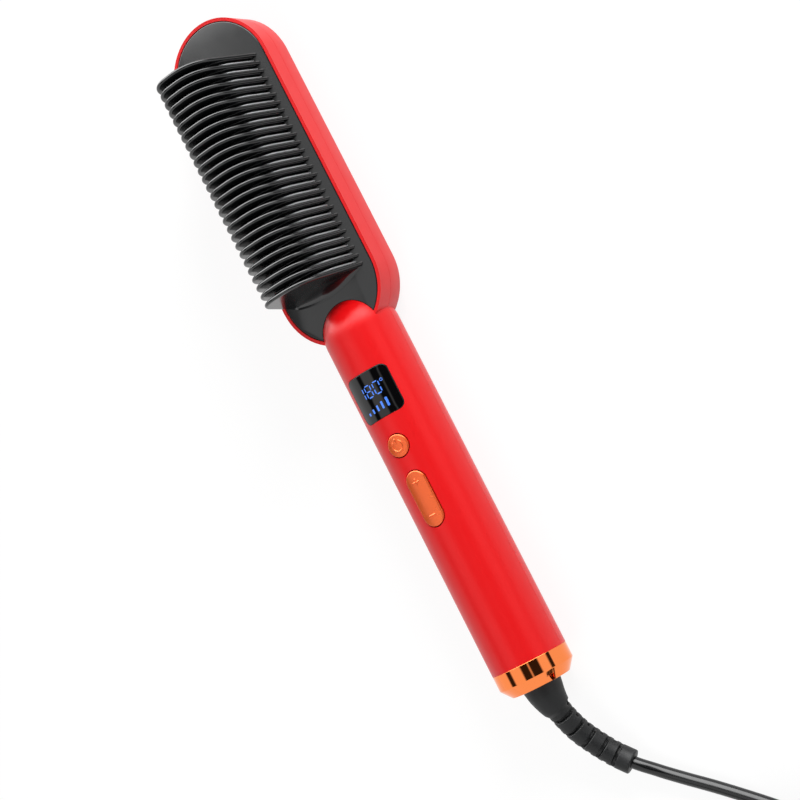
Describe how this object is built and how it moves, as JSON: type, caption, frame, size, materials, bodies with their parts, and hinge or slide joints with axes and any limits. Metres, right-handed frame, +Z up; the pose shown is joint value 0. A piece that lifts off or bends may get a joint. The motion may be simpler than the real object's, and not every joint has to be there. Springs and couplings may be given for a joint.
{
  "type": "heated straightening comb brush",
  "caption": "Heated comb brush for straightening hair: round handle with display and buttons, oval head with tall guard fins over heated blades, and a mains lead on a swivel.",
  "frame": {"origin": "on the resting surface, under the middle of the head's flat back", "axes": "+Y along the handle towards the tip of the head, +Z up from the resting surface along the fins, +X to the comb's long sloping side"},
  "size_m": [0.1246, 0.4736, 0.0493],
  "materials": {
    "red_soft_touch": "soft-touch satin",
    "black_nylon": "moulded satin",
    "anodised_aluminium": "dark anodised",
    "heater_ceramic": "sintered",
    "mica": "sheet",
    "spring_steel": "bright zinc",
    "brown_epoxy": "dipped",
    "wire_insulation": "extruded",
    "smoked_acrylic": "polished, lit from behind",
    "circuit_board": "solder mask",
    "yellow_polyester": "moulded",
    "copper_lacquer": "metallic lacquer",
    "copper_plate": "mirror plated",
    "contact_brass": "plain",
    "black_rubber": "matt moulded",
    "black_pvc": "satin extruded",
    "nickel_pins": "nickel plated"
  },
  "bodies": {
    "housing": {"front_shell": "red_soft_touch", "rear_shell": "red_soft_touch", "comb_guard": "black_nylon", "heating_comb": "anodised_aluminium", "ptc_heaters": "heater_ceramic", "mica_sheet": "mica", "heater_clamp": "spring_steel", "heater_screws": "spring_steel", "thermal_fuse": "spring_steel", "temperature_sensor": "brown_epoxy", "heater_leads": "wire_insulation", "display_window": "smoked_acrylic", "display_module": "black_nylon", "control_board": "circuit_board", "tactile_switches": "black_nylon", "mains_capacitor": "yellow_polyester", "triac": "black_nylon", "shell_screws": "spring_steel", "end_cap": "copper_plate", "swivel_socket": "black_nylon", "contact_springs": "contact_brass", "mains_leads": "wire_insulation"},
    "power_key": {"power_button": "copper_lacquer"},
    "rocker_key": {"temperature_rocker": "copper_lacquer"},
    "cord_swivel": {"swivel_stem": "black_nylon", "slip_rings": "contact_brass", "strain_relief": "black_rubber", "cord_lead": "black_pvc", "cord_coil": "black_pvc", "cord_tail": "black_pvc", "cord_tie": "black_nylon", "plug_body": "black_pvc", "plug_pins": "nickel_pins", "pin_sleeves": "black_nylon"}
  },
  "joints": [
    {"name": "power_press", "type": "slide", "parent": "housing", "child": "power_key", "axis": [0, 0, -1], "range_m": [0, 0.00035], "stiffness_N_per_m": 1500, "springref_m": -0.0004},
    {"name": "rocker_tilt", "type": "hinge", "parent": "housing", "child": "rocker_key", "pos_m": [0, -0.1383, 0.02567], "axis": [1, 0, 0], "range_deg": [-2.4, 2.4], "stiffness_Nm_per_rad": 0.3},
    {"name": "cord_turn", "type": "hinge", "parent": "housing", "child": "cord_swivel", "pos_m": [0, -0.221, 0.0156], "axis": [0, 1, 0], "continuous": true}
  ]
}
